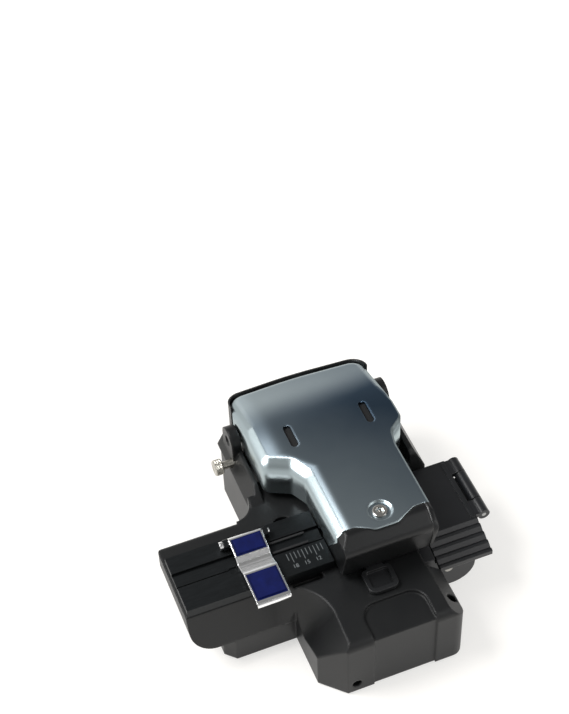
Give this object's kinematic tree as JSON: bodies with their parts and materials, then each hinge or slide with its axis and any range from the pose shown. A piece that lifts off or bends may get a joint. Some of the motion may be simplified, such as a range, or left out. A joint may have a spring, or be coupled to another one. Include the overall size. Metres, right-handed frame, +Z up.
{
  "type": "optical fibre cleaver",
  "caption": "Bench tool that cleaves optical fibre: grooved plate with sprung clip, hinged lever, sliding blade wheel, scrap collector with lid.",
  "frame": {"origin": "on the ground plane under the middle of the closed tool's bounding box", "axes": "+Z up, +X along the fibre from the grooved plate to the scrap collector, +Y from the thumb scoop to the lever's hinge"},
  "size_m": [0.0826, 0.0788, 0.035],
  "materials": {
    "base_plastic": "satin",
    "blackened_steel": "satin",
    "screw_steel": "polished",
    "foot_rubber": "matte",
    "anodised_plate": "satin",
    "nickel_magnet": "polished",
    "clip_chrome": "polished",
    "blue_enamel": "gloss",
    "carriage_metal": "satin",
    "ground_steel": "ground",
    "blade_carbide": "polished",
    "clamp_metal": "satin",
    "pad_rubber": "matte",
    "anvil_plastic": "gloss",
    "cover_metal": "satin anodised",
    "frame_plastic": "satin",
    "knob_steel": "knurled",
    "spring_steel": "drawn wire",
    "bin_plastic": "semi-gloss",
    "lid_plastic": "semi-gloss"
  },
  "bodies": {
    "base": {"base_housing": "base_plastic", "floor_plate": "blackened_steel", "floor_screws": "screw_steel", "rubber_feet": "foot_rubber", "fibre_plate": "anodised_plate", "clip_magnet": "nickel_magnet", "clip_pin": "screw_steel", "guide_rods": "ground_steel", "lower_clamp_left": "clamp_metal", "lower_clamp_right": "clamp_metal", "lower_pad_left": "pad_rubber", "lower_pad_right": "pad_rubber", "hinge_pin": "ground_steel", "return_spring": "spring_steel", "collector_bin": "bin_plastic", "collector_screws": "screw_steel", "collector_pin": "ground_steel"},
    "lever": {"lever_cover": "cover_metal", "lever_frame": "frame_plastic", "cover_screw": "screw_steel", "slot_inserts": "frame_plastic", "clamp_hanger": "clamp_metal", "hanger_posts": "ground_steel", "anvil": "anvil_plastic", "upper_pad_left": "pad_rubber", "upper_pad_right": "pad_rubber"},
    "carriage": {"blade_carriage": "carriage_metal", "blade_axle": "ground_steel"},
    "wheel": {"blade_wheel": "blade_carbide"},
    "clip": {"clip_leaf": "clip_chrome", "clip_panel_rear": "blue_enamel", "clip_panel_front": "blue_enamel"},
    "lid": {"collector_lid": "lid_plastic"},
    "lock": {"lock_pin": "knob_steel"}
  },
  "joints": [
    {"name": "lever_hinge", "type": "hinge", "parent": "base", "child": "lever", "pos_m": [0.0084, 0.0287, 0.0242], "axis": [-1, 0, 0], "range_deg": [0, 75]},
    {"name": "carriage_slide", "type": "slide", "parent": "base", "child": "carriage", "axis": [0, 1, 0], "range_m": [0, 0.01]},
    {"name": "wheel_spin", "type": "hinge", "parent": "carriage", "child": "wheel", "pos_m": [0.0063, -0.0119, 0.0145], "axis": [1, 0, 0], "continuous": true},
    {"name": "clip_hinge", "type": "hinge", "parent": "base", "child": "clip", "pos_m": [-0.02055, -0.0024, 0.0243], "axis": [-1, 0, 0], "range_deg": [0, 100]},
    {"name": "lid_hinge", "type": "hinge", "parent": "base", "child": "lid", "pos_m": [0.0397, -0.0045, 0.017], "axis": [0, 1, 0], "range_deg": [0, 110]},
    {"name": "lock_slide", "type": "slide", "parent": "base", "child": "lock", "axis": [1, 0, 0], "range_m": [0, 0.0016]}
  ]
}
